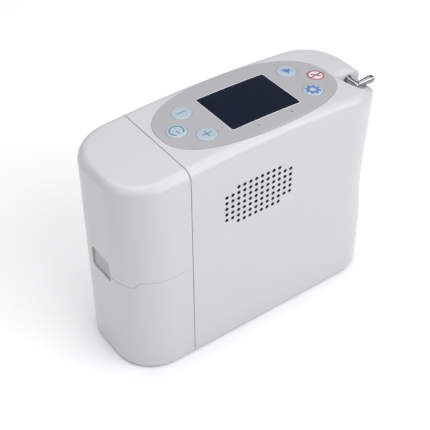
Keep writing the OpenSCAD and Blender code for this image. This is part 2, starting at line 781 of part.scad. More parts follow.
// Recess and pocket of the latch button.
pocket = [10, 12, 9];
pocket_wall = 2;
pocket_x = -pack_len + pocket.x;
latch_travel = 3;
module pocket_box(grow) {
    box([-pack_len - 1, -pocket.y - grow, latch_z - pocket.z - grow],
        [pocket_x + grow, pocket.y + grow, latch_z + pocket.z + grow]);
}

// Side view of the parting line: level, with a short step down to the end face.
step_drop = 3.5;
step_x0 = -43;
step_x1 = -39;
module below_parting(shift) {
    z = parting_z + shift;
    along_y(-half_w - 1, half_w + 1) polygon([[-pack_len - 9, -9], [-pack_len - 9, z - step_drop],
        [step_x0, z - step_drop], [step_x1, z], [9, z], [9, -9]]);
}

module pack_case() difference() {
    pack_solid(0, -gap);
    difference() {
        pack_solid(wall, 9);
        pocket_box(pocket_wall);
    }
    pocket_box(0);
    translate([pocket_x - 1, 0, latch_z]) rod_x(2.4, 9);
}

part_gap = 0.15;
module battery_upper_case() color("whitesmoke") at_seam() difference() {
    pack_case();
    below_parting(part_gap);
}

module battery_lower_case() color("whitesmoke") at_seam() intersection() {
    pack_case();
    below_parting(-part_gap);
}

cover_x0 = -2.4;
module battery_inner_cover() color("gainsboro") at_seam() difference() {
    union() {
        along_x(cover_x0, -gap)
            cross_section(in_w - slip, foot_h + wall + slip, top_at(cover_x0) - wall - slip, top_r - wall, 1);
        for (z = pin_z) translate([-gap - 1, 0, z]) {
            rod_x(pin_r, 8);
            translate([8, 0, 0]) rotate([0, 90, 0]) cylinder(h = 1.2, r1 = pin_r, r2 = pin_r - 1);
        }
        for (s = [-1, 1]) difference() {
            box([-gap - 1, s * lug_y - (s > 0 ? 5 : 0), latch_z - 5],
                [9.4, s * lug_y + (s > 0 ? 0 : 5), latch_z + 5]);
            translate([notch_x, s * (lug_y + 0.6), latch_z - 6]) cylinder(h = 12, r = notch_r);
        }
    }
    translate([-9, 0, latch_z]) rod_x(2.4, 18);
    for (y = blade_y) box([-9, y - 0.5, contact_z - 3.1], [9, y + 0.5, contact_z + 3.1]);
}

cell_r = 9.1;
cell_l = 65;
cell_z = [8, 100];
cell_at = [[-14, -28.5], [-14, -9.5], [-14, 9.5], [-14, 28.5], [-33, -9.5], [-33, 9.5]];
module battery_cells() color("seagreen") at_seam() for (z = cell_z, p = cell_at) translate([p.x, p.y, z]) {
    cylinder(h = cell_l - 1, r = cell_r);
    cylinder(h = cell_l, r = 2.8);
}

module bms_board() color("darkgreen") at_seam() difference() {
    box([-4.4, -30, latch_z - 12], [-2.8, 30, latch_z + 11]);
    translate([-9, 0, latch_z]) rod_x(3, 9);
}

module battery_contacts() color("gold") at_seam() {
    box([-4.4, -16, contact_z - 4], [cover_x0, 16, contact_z + 4]);
    for (y = blade_y) box([cover_x0 - 0.1, y - 0.4, contact_z - 3], [7, y + 0.4, contact_z + 3]);
}

// Push button with the rod that reaches the catch clip through the pack.
button_x0 = -pack_len + 1.2;
button_x1 = button_x0 + 4;
module latch_button() color("gainsboro") at_seam() translate([0, 0, latch_z]) {
    translate([button_x0, 0, 0]) rotate([90, 0, 90]) linear_extrude(button_x1 - button_x0)
        round_rect(2 * pocket.y - 0.8, 2 * pocket.z - 0.8, 2);
    translate([button_x1 - 0.1, 0, 0]) rod_x(2, 6.4 - button_x1);
}

module latch_spring() color("silver") at_seam() translate([button_x1 + 0.5, 0, latch_z])
    rotate([0, 90, 0]) helix(3.4, 0.4, pocket_x - button_x1 - 1, 3);

main_shell();
base_plate();
rubber_feet();
base_screws();
seam_bulkhead();
contact_receptacle();
catch_clip();
panel_overlay();
display_bezel();
display_window();
lcd_module();
display_pcb();
dome_switches();
status_leds();
warning_badge();
key_minus();
key_power();
key_plus();
key_bell();
key_settings();
outlet_bush();
nozzle_elbow();
nozzle_o_ring();
chassis_tray();
isolator_mounts();
crankcase();
shaft_bearings();
cylinder_liners();
cylinder_heads();
motor_stator();
motor_rotor();
crankshaft();
piston_left();
piston_right();
cooling_coil();
fan_frame();
fan_impeller();
sieve_columns();
zeolite_beds();
bed_springs();
column_caps();
valve_manifold();
solenoid_valves();
product_tank();
pulse_valve();
oxygen_sensor();
air_hoses();
main_pcb();
intake_filter();
intake_muffler();
dc_jack();
battery_upper_case();
battery_lower_case();
battery_inner_cover();
battery_cells();
bms_board();
battery_contacts();
latch_button();
latch_spring();
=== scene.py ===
import json
import math

import bmesh
import bpy
from mathutils import Euler, Matrix, Vector


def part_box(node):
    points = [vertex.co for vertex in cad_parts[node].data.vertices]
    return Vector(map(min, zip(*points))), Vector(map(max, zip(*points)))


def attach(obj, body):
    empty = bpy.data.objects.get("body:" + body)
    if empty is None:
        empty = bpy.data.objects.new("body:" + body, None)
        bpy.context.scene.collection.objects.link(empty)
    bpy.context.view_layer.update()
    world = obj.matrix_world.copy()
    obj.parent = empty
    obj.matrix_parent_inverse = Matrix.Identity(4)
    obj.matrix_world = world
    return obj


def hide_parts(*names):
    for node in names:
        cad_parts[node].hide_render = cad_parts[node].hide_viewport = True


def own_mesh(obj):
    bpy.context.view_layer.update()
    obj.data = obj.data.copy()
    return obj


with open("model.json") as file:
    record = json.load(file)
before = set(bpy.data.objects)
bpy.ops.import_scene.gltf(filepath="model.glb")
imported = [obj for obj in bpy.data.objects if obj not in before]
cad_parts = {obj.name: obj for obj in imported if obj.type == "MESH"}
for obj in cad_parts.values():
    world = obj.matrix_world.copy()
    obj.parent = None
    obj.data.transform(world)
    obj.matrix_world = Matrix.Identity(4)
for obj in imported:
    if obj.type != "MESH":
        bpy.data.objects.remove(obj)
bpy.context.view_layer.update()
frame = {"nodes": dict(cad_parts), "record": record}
NODES = frame["nodes"]
MM = 0.001

# The seam and the arch of the top, seen from the side, taken from the CAD part, in metres.
GAP = 0.2     # mm from the seam to each of the two housings
FILM = 0.15   # mm that the panel sheet stands above the arch
shell_lo, shell_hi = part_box("main_shell")
pack_lo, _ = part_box("battery_upper_case")
SEAM = shell_lo.x - GAP * MM
ARCH_R = 1.0
ARCH_X = (shell_hi.x + pack_lo.x) / 2
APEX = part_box("panel_overlay")[1].z - FILM * MM


def top_at(x):
    return APEX - ARCH_R + math.sqrt(ARCH_R * ARCH_R - (x - ARCH_X) ** 2)


def slope_at(x):
    return math.asin((x - ARCH_X) / ARCH_R)


def on_top(x, y):
    """Matrix of a spot on the arched top, square to it."""
    return Matrix.Translation((x, y, top_at(x))) @ Matrix.Rotation(slope_at(x), 4, "Y")


# ---------- Materials ----------

SMEAR_FINER = 3.1         # the roughness pattern against the colour pattern
GRAIN_HEIGHT = 0.2 * MM
GLOW_DEPTH = 2 * MM       # how deep light goes into a soft plastic


def node(tree, kind, at, **values):
    n = tree.nodes.new(kind)
    n.location = at
    for k, v in values.items():
        setattr(n, k, v)
    return n


def material(name, color, rough, metallic=0.0, tone=0.06, tone_scale=35.0, grain=0.02, grain_scale=1500.0,
             wear=0.10, rough_var=0.08, coat=0.0, coat_rough=0.1, specular=0.5, streak=None, fleck=None,
             subsurface=0.0):
    """Procedural finish: mottled colour, uneven roughness, fine grain and worn edges.

    tone, rough_var, grain and wear say how strong each one is, and tone_scale and grain_scale how fine. streak
    stretches the pattern along an axis, and fleck is the colour, scale and size of a second, spotted colour.
    """
    m = bpy.data.materials.new(name)
    m.use_nodes = True
    t = m.node_tree
    t.nodes.clear()
    out = node(t, "ShaderNodeOutputMaterial", (900, 0))
    bsdf = node(t, "ShaderNodeBsdfPrincipled", (600, 0))
    t.links.new(bsdf.outputs[0], out.inputs[0])
    coord = node(t, "ShaderNodeTexCoord", (-1100, 0))
    mapping = node(t, "ShaderNodeMapping", (-900, 0))
    if streak:
        mapping.inputs["Scale"].default_value = streak
    t.links.new(coord.outputs["Object"], mapping.inputs["Vector"])

    mottle = node(t, "ShaderNodeTexNoise", (-700, 200))
    mottle.inputs["Scale"].default_value = tone_scale
    mottle.inputs["Detail"].default_value = 6.0
    mottle.inputs["Roughness"].default_value = 0.6
    t.links.new(mapping.outputs[0], mottle.inputs["Vector"])
    ramp = node(t, "ShaderNodeValToRGB", (-500, 200))
    low = [max(0.0, c * (1 - tone)) for c in color]
    high = [min(1.0, c * (1 + tone)) for c in color]
    ramp.color_ramp.interpolation = "EASE"
    ramp.color_ramp.elements[0].position = 0.2
    ramp.color_ramp.elements[0].color = (*low, 1)
    ramp.color_ramp.elements[1].position = 0.8
    ramp.color_ramp.elements[1].color = (*high, 1)
    t.links.new(mottle.outputs["Fac"], ramp.inputs["Fac"])
    shade = ramp.outputs["Color"]

    if fleck:
        fleck_color, fleck_scale, fleck_size = fleck
        cells = node(t, "ShaderNodeTexVoronoi", (-700, 450))
        cells.inputs["Scale"].default_value = fleck_scale
        t.links.new(mapping.outputs[0], cells.inputs["Vector"])
        spot = node(t, "ShaderNodeValToRGB", (-500, 450))
        spot.color_ramp.elements[0].position = fleck_size
        spot.color_ramp.elements[0].color = (1, 1, 1, 1)
        spot.color_ramp.elements[1].position = fleck_size + 0.15
        spot.color_ramp.elements[1].color = (0, 0, 0, 1)
        t.links.new(cells.outputs["Distance"], spot.inputs["Fac"])
        mix = node(t, "ShaderNodeMix", (-250, 350), data_type="RGBA")
        t.links.new(spot.outputs["Color"], mix.inputs["Factor"])
        t.links.new(shade, mix.inputs["A"])
        mix.inputs["B"].default_value = (*fleck_color, 1)
        shade = mix.outputs["Result"]

    # Edges that stand out wear to a lighter colour.
    point = node(t, "ShaderNodeNewGeometry", (-700, -150))
    edge = node(t, "ShaderNodeValToRGB", (-500, -150))
    edge.color_ramp.elements[0].position = 0.50
    edge.color_ramp.elements[0].color = (0, 0, 0, 1)
    edge.color_ramp.elements[1].position = 0.62
    edge.color_ramp.elements[1].color = (wear, wear, wear, 1)
    t.links.new(point.outputs["Pointiness"], edge.inputs["Fac"])
    worn = node(t, "ShaderNodeMix", (-50, 150), data_type="RGBA")
    t.links.new(edge.outputs["Color"], worn.inputs["Factor"])
    t.links.new(shade, worn.inputs["A"])
    worn.inputs["B"].default_value = (*[min(1.0, c * 1.25 + 0.05) for c in color], 1)
    t.links.new(worn.outputs["Result"], bsdf.inputs["Base Color"])

    smear = node(t, "ShaderNodeTexNoise", (-700, -400))
    smear.inputs["Scale"].default_value = tone_scale * SMEAR_FINER
    smear.inputs["Detail"].default_value = 4.0
    t.links.new(mapping.outputs[0], smear.inputs["Vector"])
    span = node(t, "ShaderNodeMapRange", (-450, -400))
    span.inputs["From Min"].default_value = 0.2
    span.inputs["From Max"].default_value = 0.8
    span.inputs["To Min"].default_value = max(0.02, rough - rough_var)
    span.inputs["To Max"].default_value = min(1.0, rough + rough_var)
    t.links.new(smear.outputs["Fac"], span.inputs["Value"])
    t.links.new(span.outputs["Result"], bsdf.inputs["Roughness"])

    fine = node(t, "ShaderNodeTexNoise", (-700, -650))
    fine.inputs["Scale"].default_value = grain_scale
    fine.inputs["Detail"].default_value = 3.0
    t.links.new(mapping.outputs[0], fine.inputs["Vector"])
    bump = node(t, "ShaderNodeBump", (300, -400))
    bump.inputs["Strength"].default_value = grain
    bump.inputs["Distance"].default_value = GRAIN_HEIGHT
    t.links.new(fine.outputs["Fac"], bump.inputs["Height"])
    t.links.new(bump.outputs["Normal"], bsdf.inputs["Normal"])

    bsdf.inputs["Metallic"].default_value = metallic
    bsdf.inputs["Specular IOR Level"].default_value = specular
    bsdf.inputs["Coat Weight"].default_value = coat
    bsdf.inputs["Coat Roughness"].default_value = coat_rough
    bsdf.inputs["Subsurface Weight"].default_value = subsurface
    bsdf.inputs["Subsurface Radius"].default_value = (GLOW_DEPTH, GLOW_DEPTH, GLOW_DEPTH)
    return m


# One finish for each material slot of the record, and five for printed marks.
FINISH = {
    "housing": material("housing", (0.565, 0.562, 0.590), 0.34, tone=0.012, tone_scale=18, grain=0.03,
                        grain_scale=2600, wear=0.0, rough_var=0.03, coat=0.3, coat_rough=0.16),
    "panel": material("panel", (0.380, 0.380, 0.398), 0.42, tone=0.02, tone_scale=30, grain=0.06,
                      grain_scale=3200, wear=0.0, coat=0.1, coat_rough=0.3),
    "bezel": material("bezel", (0.74, 0.74, 0.77), 0.3, tone=0.02, grain=0.02, wear=0.2),
    "window": material("window", (0.006, 0.010, 0.022), 0.07, tone=0.2, tone_scale=22, grain=0.004, wear=0.05,
                       rough_var=0.03, specular=0.24),
    "key": material("key", (0.38, 0.468, 0.525), 0.36, tone=0.03, tone_scale=60, grain=0.05, grain_scale=2800,
                    wear=0.3, coat=0.2, coat_rough=0.2),
    "badge": material("badge", (0.36, 0.028, 0.050), 0.4, tone=0.05, tone_scale=200, grain=0.03, wear=0.1),
    "led_lens": material("led_lens", (0.50, 0.52, 0.44), 0.2, tone=0.08, tone_scale=400, grain=0.01, wear=0.2,
                         subsurface=0.1),
    "chrome": material("chrome", (0.30, 0.31, 0.34), 0.10, 1.0, tone=0.02, tone_scale=150, grain=0.004,
                       rough_var=0.03, wear=0.3),
    "steel": material("steel", (0.58, 0.58, 0.60), 0.3, 1.0, tone=0.08, tone_scale=120, grain=0.08,
                      streak=(1, 1, 8), wear=0.4),
    "aluminium": material("aluminium", (0.74, 0.75, 0.77), 0.36, 1.0, tone=0.05, tone_scale=90, grain=0.06,
                          streak=(6, 1, 1), wear=0.3),
    "cast_alloy": material("cast_alloy", (0.50, 0.52, 0.55), 0.5, 0.9, tone=0.12, tone_scale=220, grain=0.35,
                           grain_scale=900, wear=0.5),
    "copper": material("copper", (0.70, 0.36, 0.20), 0.3, 1.0, tone=0.16, tone_scale=160, grain=0.05,
                       wear=0.3),
    "rubber": material("rubber", (0.045, 0.045, 0.048), 0.75, tone=0.15, tone_scale=180, grain=0.3,
                       grain_scale=1400, wear=0.4, specular=0.3),
    "black_plastic": material("black_plastic", (0.022, 0.022, 0.025), 0.45, tone=0.15, tone_scale=90,
                              grain=0.15, grain_scale=1800, wear=0.35),
    "grey_plastic": material("grey_plastic", (0.50, 0.50, 0.53), 0.42, tone=0.03, tone_scale=60, grain=0.1,
                             grain_scale=2000, wear=0.25),
    "latch_grey": material("latch_grey", (0.40, 0.41, 0.43), 0.45, tone=0.04, tone_scale=80, grain=0.15,
                           grain_scale=2000, wear=0.3),
    "pcb": material("pcb", (0.020, 0.140, 0.060), 0.35, tone=0.12, tone_scale=300, grain=0.1, wear=0.4,
                    fleck=((0.60, 0.48, 0.18), 420, 0.10)),
    "lcd": material("lcd", (0.12, 0.13, 0.15), 0.35, tone=0.08, tone_scale=70, grain=0.05, wear=0.3),
    "valve_body": material("valve_body", (0.05, 0.065, 0.18), 0.4, tone=0.1, tone_scale=120, grain=0.15,
                           wear=0.4),
    "zeolite": material("zeolite", (0.70, 0.62, 0.48), 0.85, tone=0.1, tone_scale=300, grain=0.6,
                        grain_scale=700, wear=0.2, fleck=((0.48, 0.40, 0.30), 900, 0.25)),
    "hose": material("hose", (0.74, 0.71, 0.62), 0.4, tone=0.05, tone_scale=60, grain=0.05, wear=0.2,
                     subsurface=0.15),
    "foam": material("foam", (0.12, 0.125, 0.135), 0.95, tone=0.3, tone_scale=600, grain=1.0,
                     grain_scale=1200, wear=0.3, fleck=((0.03, 0.03, 0.035), 1500, 0.3)),
    "cell_can": material("cell_can", (0.05, 0.30, 0.14), 0.35, 0.1, tone=0.08, tone_scale=70, grain=0.05,
                         wear=0.4),
    "contact_gold": material("contact_gold", (0.83, 0.62, 0.25), 0.22, 1.0, tone=0.06, tone_scale=200,
                             grain=0.04, wear=0.3),
}
PRINT_GREY = material("print_grey_blue", (0.08, 0.15, 0.27), 0.5, tone=0.06, tone_scale=500, grain=0.05,
                      wear=0.0)
PRINT_BLUE = material("print_blue", (0.080, 0.180, 0.41), 0.5, tone=0.06, tone_scale=500, grain=0.05, wear=0.0)
BADGE_WHITE = material("badge_white", (0.68, 0.64, 0.66), 0.4, tone=0.03, tone_scale=200, grain=0.03,
                       wear=0.1)
BADGE_DARK = material("badge_dark", (0.06, 0.05, 0.06), 0.5, tone=0.1, tone_scale=400, grain=0.05, wear=0.1)
DOT = material("led_dot", (0.10, 0.11, 0.07), 0.4, tone=0.1, tone_scale=500, grain=0.03, wear=0.1)

# ---------- CAD nodes that are shown as they are, with their edges broken ----------

# How far an edge is broken, in mm, where it isn't the usual amount.
EDGE = 0.25
EDGE_OF = {"nozzle_elbow": 0.12, "latch_button": 0.8, "base_plate": 0.3, "outlet_bush": 0.2,
           "battery_inner_cover": 0.3}
ROUND_PIECES = {"cooling_coil", "bed_springs", "air_hoses", "nozzle_o_ring"}
WELD = 2e-6          # metres
FLAT = math.radians(0.6)
SHARP = math.radians(38)
slot_of = {s["node"]: s["material_slot"] for s in frame["record"]["subparts"]}


def weld_points(obj):
    obj.modifiers.new("weld", "WELD").merge_threshold = WELD


def merge_flats(obj):
    merge = obj.modifiers.new("merge_flats", "DECIMATE")
    merge.decimate_type = "DISSOLVE"
    merge.angle_limit = FLAT


def break_edges(obj, width):
    bevel = obj.modifiers.new("broken_edges", "BEVEL")
    bevel.width = width * MM
    bevel.segments = 2
    bevel.limit_method = "ANGLE"
    bevel.angle_limit = SHARP
    bevel.harden_normals = True


def even_shading(obj, weight=50):
    """Flat faces stay flat next to rounded ones; a higher weight favours the large faces more."""
    even = obj.modifiers.new("even_shading", "WEIGHTED_NORMAL")
    even.keep_sharp = True
    even.weight = weight


def one_finish(obj, mat):
    obj.data.materials.clear()
    obj.data.materials.append(mat)
    obj.data.shade_smooth()
    weld_points(obj)


for name, obj in NODES.items():
    one_finish(obj, FINISH[slot_of[name]])
    if name not in ROUND_PIECES:
        merge_flats(obj)
        break_edges(obj, EDGE_OF.get(name, EDGE))
        even_shading(obj)

# ---------- Pieces made here: turned solids, outlines and raised figures ----------


def add_mesh(name, verts, faces, mat, body, replaces=(), smooth=True, matrix=None):
    """A piece that rides on a body and stands for CAD nodes; matrix takes its points to frame metres."""
    mesh = bpy.data.meshes.new(name)
    mesh.from_pydata([tuple(v) for v in verts], [], faces)
    if matrix is not None:
        mesh.transform(matrix)
    bm = bmesh.new()
    bm.from_mesh(mesh)
    bmesh.ops.remove_doubles(bm, verts=bm.verts, dist=1e-7)
    bmesh.ops.recalc_face_normals(bm, faces=bm.faces)
    bm.to_mesh(mesh)
    bm.free()
    if smooth:
        mesh.shade_smooth()
    mesh.materials.append(mat)
    obj = bpy.data.objects.new(name, mesh)
    bpy.context.scene.collection.objects.link(obj)
    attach(obj, body)
    if replaces:
        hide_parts(*replaces)
    return obj


def lathe(profile, steps=64):
    """Turned solid, in metres, from (radius, height) points in mm; both ends lie on the axis."""
    verts, faces, rings = [], [], []
    for r, z in profile:
        if r < 1e-6:
            rings.append([len(verts)])
            verts.append((0, 0, z * MM))
        else:
            rings.append(list(range(len(verts), len(verts) + steps)))
            for k in range(steps):
                a = 2 * math.pi * k / steps
                verts.append((r * MM * math.cos(a), r * MM * math.sin(a), z * MM))
    for p, q in zip(rings, rings[1:]):
        for k in range(steps):
            j = (k + 1) % steps
            if len(p) == 1:
                faces.append((p[0], q[k], q[j]))
            elif len(q) == 1:
                faces.append((p[k], p[j], q[0]))
            else:
                faces.append((p[k], p[j], q[j], q[k]))
    return verts, faces


def arc(cx, cy, r, a0, a1, n):
    """Points of an arc from a0 to a1 degrees, both ends included."""
    turns = [math.radians(a0 + (a1 - a0) * k / n) for k in range(n + 1)]
    return [(cx + r * math.cos(a), cy + r * math.sin(a)) for a in turns]


def disc(r, n, x=0.0, y=0.0):
    """Outline of a full circle in n points."""
    return arc(x, y, r, 0, 360 * (n - 1) / n, n - 1)


RIM_TURN = 1.0        # radians; an edge that turns more than this is a rim
RIM_DROP = 0.02       # mm


def relief(loops, low, high):
    """Thin printed or raised figure: outlines in mm (outer first, then holes), with a soft top edge."""
    bm = bmesh.new()
    edges = []
    for loop in loops:
        vs = [bm.verts.new((x * MM, y * MM, low * MM)) for x, y in loop]
        edges += [bm.edges.new((vs[i], vs[(i + 1) % len(vs)])) for i in range(len(vs))]
    bmesh.ops.triangle_fill(bm, edges=edges, use_beauty=True)
    top = bmesh.ops.extrude_face_region(bm, geom=bm.faces[:])
    moved = [g for g in top["geom"] if isinstance(g, bmesh.types.BMVert)]
    bmesh.ops.translate(bm, verts=moved, vec=(0, 0, (high - low) * MM))
    bmesh.ops.recalc_face_normals(bm, faces=bm.faces)
    rim = [e for e in bm.edges if len(e.link_faces) == 2 and e.calc_face_angle(0) > RIM_TURN
           and all(v.co.z > (low + high) / 2 * MM for v in e.verts)]
    bmesh.ops.bevel(bm, geom=rim, offset=RIM_DROP * MM, segments=1, affect="EDGES")
    verts = [v.co.copy() for v in bm.verts]
    bm.verts.index_update()
    faces = [[v.index for v in f.verts] for f in bm.faces]
    bm.free()
    return verts, faces


def turned(points, degrees):
    c, s = math.cos(math.radians(degrees)), math.sin(math.radians(degrees))
    return [(x * c - y * s, x * s + y * c) for x, y in points]


def bar(u, v, x=0.0, y=0.0):
    return [(x - u, y - v), (x + u, y - v), (x + u, y + v), (x - u, y + v)]


def cross(u, v):
    return [(u, -v), (u, v), (v, v), (v, u), (-v, u), (-v, v),
            (-u, v), (-u, -v), (-v, -v), (-v, -u), (v, -u), (v, -v)]


def ring_gap(r1, r0, gap):
    """Ring with an opening at the bottom, gap degrees to either side."""
    return arc(0, 0, r1, -90 + gap, 270 - gap, 40) + arc(0, 0, r0, 270 - gap, -90 + gap, 40)


def gear(teeth, r1, r0, root=13, tip=8):
    """Outline of a gear; root and tip are half a tooth's width, in degrees."""
    out = []
    for k in range(teeth):
        for da, r in ((-root, r0), (-tip, r1), (tip, r1), (root, r0)):
            a = math.radians(360 * k / teeth + da)
            out.append((r * math.cos(a), r * math.sin(a)))
    return out


# ---------- Keys: turned caps with raised figures, in mm ----------

# For each key a list of pieces, and for each piece its outlines.
BELL = ([(-4.1, -2.4), (-2.7, -1.0)] + arc(0, 1.7, 1.6, 180, 0, 20) + [(2.7, -1.0), (4.1, -2.4)])
FIGURES = {
    "key_minus": [[bar(3.7, 0.42)]],
    "key_plus": [[cross(3.7, 0.42)]],
    "key_power": [[ring_gap(5.5, 4.65, 33)], [bar(0.45, 1.9, 0, -1.9)]],
    "key_bell": [[turned(BELL, 48)], [turned(arc(0, -2.95, 1.0, 180, 360, 12), 48)],
                 [turned(arc(0, 4.0, 0.65, 0, 345, 15), 48)]],
    "key_settings": [[gear(8, 6.1, 4.5), arc(0, 0, 2.5, 0, 345, 24)]],
}
# A stem below, a flange, and a crowned cap with a rolled edge.
KEY_PROFILE = [(0, -3.9), (2.2, -3.9), (2.5, -3.6), (2.5, -0.42), (2.6, -0.36), (7.35, -0.36), (7.55, -0.22),
               (7.6, 0.0), (7.52, 0.18), (7.3, 0.33), (6.9, 0.44), (6.4, 0.51), (5.6, 0.56), (4.2, 0.58),
               (2.0, 0.595), (0, 0.6)]
MARK_FROM, MARK_TO = 0.50, 0.64


def spot_of(name):
    """Matrix of the middle of a CAD node on the arched top."""
    lo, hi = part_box(name)
    return on_top((lo.x + hi.x) / 2, (lo.y + hi.y) / 2)


for key, figures in FIGURES.items():
    spot = spot_of(key)
    verts, faces = lathe(KEY_PROFILE)
    add_mesh(key + "_cap", verts, faces, FINISH["key"], key, [key], matrix=spot)
    ink = PRINT_BLUE if key in ("key_bell", "key_settings") else PRINT_GREY
    for k, loops in enumerate(figures):
        verts, faces = relief(loops, MARK_FROM, MARK_TO)
        add_mesh(f"{key}_mark_{k}", verts, faces, ink, key, smooth=False, matrix=spot)

# ---------- Housings: lofted skins, cut with real openings ----------

# All of this section is in millimetres, with X counted from the seam, as in the CAD part.
BODY_L = (shell_hi.x - SEAM) / MM
PACK_L = (SEAM - pack_lo.x) / MM
HALF = shell_hi.y / MM
FOOT = shell_lo.z / MM
WALL = 2.4
ROOF = 2.6
END_R = 33.0             # both ends, seen from above
SIDE_FILLET = 8.0        # between the top and the long sides
FOOT_FILLET = 3.0
ABOVE = 190.0            # over everything, for cuts from above
UNDER_TOP = 160.0        # inside the housing, for cuts through the top only
PAST = 9.0               # how far a cutter runs past the surface that it goes through
OPEN_FOOT = -4.0         # the hollow of the housing runs out below
BODY_OPEN, PACK_OPEN = 2.0, 3.0       # and each hollow runs out past the seam
TO_ROW = Matrix.Translation((SEAM, 0, 0)) @ Matrix.Scale(MM, 4)


def crown(x):
    return top_at(SEAM + x * MM) / MM


def surface(x, y):
    """Height of the top at a spot, long-edge fillets included."""
    over = abs(y) - (HALF - SIDE_FILLET)
    if over <= 0:
        return crown(x)
    return crown(x) - (SIDE_FILLET - math.sqrt(max(SIDE_FILLET * SIDE_FILLET - over * over, 0.0)))


# The outlet end is drawn in: height, and the share of the full depth there.
WAIST_DEPTH = 3.0
WAIST = [(0, 0), (50, 0), (60, 0.25), (72, 0.75), (88, 1), (112, 0.9), (136, 0.45), (160, 0), (200, 0)]


def waist(z):
    """How far the outlet end is drawn in at a height: a smooth curve through WAIST."""
    for k in range(1, len(WAIST) - 2):
        (z0, a), (z1, b) = WAIST[k], WAIST[k + 1]
        if z0 <= z <= z1:
            zp, ap = WAIST[k - 1]
            zn, an = WAIST[k + 2]
            m0, m1 = (b - ap) / (z1 - zp), (an - a) / (zn - z0)
            h = z1 - z0
            u = (z - z0) / h
            return WAIST_DEPTH * max(0.0, (2 * u**3 - 3 * u**2 + 1) * a + (u**3 - 2 * u**2 + u) * h * m0
                                     + (3 * u**2 - 2 * u**3) * b + (u**3 - u**2) * h * m1)
    return 0.0


BAY = 5.0                      # between columns of points along the straight sides
LOW_STEPS, TOP_STEPS = 6, 12   # faces round the bottom and the top fillet
WALL_STEPS = 8                 # faces up a plain wall


def skin(x0, x1, half, corner, low, high, side_fillet, end_fillet, low_fillet, seam_round=0.6,
         narrowed=False, turns=30):
    """Closed body, square at x0 and round at x1, with fillets round its top and bottom.

    low and high give the heights at x. Columns of points run from one side of x0 round x1 to the other side.
    Each holds its place along and across, its outward direction, how far the edge at x0 is rounded off there,
    and its way from the side fillet to the end fillet.
    """
    way = 1 if x1 > x0 else -1
    length = abs(x1 - x0)
    cols = []
    for b in ((90, 60, 30) if seam_round else ()):
        cols.append((seam_round * (1 - math.sin(math.radians(b))), half, 0.0, 1.0,
                     seam_round * (1 - math.cos(math.radians(b))), 0.0))
    straight = length - corner
    count = max(2, int(straight / BAY))
    for k in range(count + 1):
        cols.append((seam_round + (straight - seam_round) * k / count, half, 0.0, 1.0, 0.0, 0.0))
    for k in range(1, turns + 1):
        a = math.radians(90 * k / turns)
        w = k / turns
        cols.append((straight + corner * math.sin(a), half - corner + corner * math.cos(a),
                     math.sin(a), math.cos(a), 0.0, w * w * (3 - 2 * w)))
    cols += [(x, -y, nx, -ny, e, w) for x, y, nx, ny, e, w in reversed(cols)]
    n = len(cols)
    # Heights of the points in a drawn-in wall: a few below the waist, and close together through it.
    walls = [4 + 46 * k / 4 for k in range(5)] + [50 + 110 * k / 44 for k in range(1, 45)] if narrowed else []
    rows = []
    for x, y, nx, ny, e, w in cols:
        f = side_fillet + (end_fillet - side_fillet) * w - e
        lf = low_fillet - e

        def place(inset, z_shift, base, z_fixed=None):
            px, py = x - nx * inset, y - ny * inset
            z = z_fixed if z_fixed is not None else base(x0 + way * px) + z_shift
            if narrowed:
                px = px * (straight - waist(z)) / straight if x <= straight else px - waist(z)
            return (x0 + way * px, py, z)

        col = []
        for k in range(LOW_STEPS + 1):
            a = math.radians(90 - 90 * k / LOW_STEPS)
            col.append(place(e + lf * (1 - math.cos(a)), e + lf * (1 - math.sin(a)), low))
        z_bottom = col[-1][2]
        probe = place(e, -e - f, high)[2]
        even = [z_bottom + (probe - z_bottom) * k / WALL_STEPS for k in range(1, WALL_STEPS)]
        for z in walls or even:
            z = min(max(z, z_bottom + 0.01), probe - 0.01) if walls else z
            col.append(place(e, 0, low, z))
        for k in range(TOP_STEPS + 1):
            a = math.radians(90 * k / TOP_STEPS)
            col.append(place(e + f * (1 - math.cos(a)), -e - f * (1 - math.sin(a)), high))
        rows.append(col)
    m = len(rows[0])
    verts = [v for col in rows for v in col]
    faces = []
    for i in range(n - 1):
        for j in range(m - 1):
            faces.append((i * m + j, (i + 1) * m + j, (i + 1) * m + j + 1, i * m + j + 1))
    for i in range(n // 2 - 1):
        a, b = n - 1 - i, n - 2 - i
        faces.append((i * m + m - 1, (i + 1) * m + m - 1, b * m + m - 1, a * m + m - 1))
        faces.append((i * m, a * m, b * m, (i + 1) * m))
    faces.append(list(range(m)) + [(n - 1) * m + j for j in reversed(range(m))])
    return verts, faces


def solid(name, verts, faces):
    """Closed mesh from points in mm, put in the part's place."""
    mesh = bpy.data.meshes.new(name)
    mesh.from_pydata([tuple(v) for v in verts], [], [tuple(f) for f in faces])
    bm = bmesh.new()
    bm.from_mesh(mesh)
    bmesh.ops.remove_doubles(bm, verts=bm.verts, dist=1e-4)
    bmesh.ops.recalc_face_normals(bm, faces=bm.faces)
    if bm.calc_volume(signed=True) < 0:
        bmesh.ops.reverse_faces(bm, faces=bm.faces)
    bm.to_mesh(mesh)
    bm.free()
    mesh.transform(TO_ROW)
    obj = bpy.data.objects.new(name, mesh)
    bpy.context.scene.collection.objects.link(obj)
    return obj


def cut(obj, cutter):
    """Exact boolean, applied at once; the cutter is removed."""
    mod = obj.modifiers.new("cut", "BOOLEAN")
    mod.operation = "DIFFERENCE"
    mod.solver = "EXACT"
    mod.object = cutter
    graph = bpy.context.evaluated_depsgraph_get()
    made = bpy.data.meshes.new_from_object(obj.evaluated_get(graph))
    obj.modifiers.clear()
    obj.data = made
    bpy.data.objects.remove(cutter)


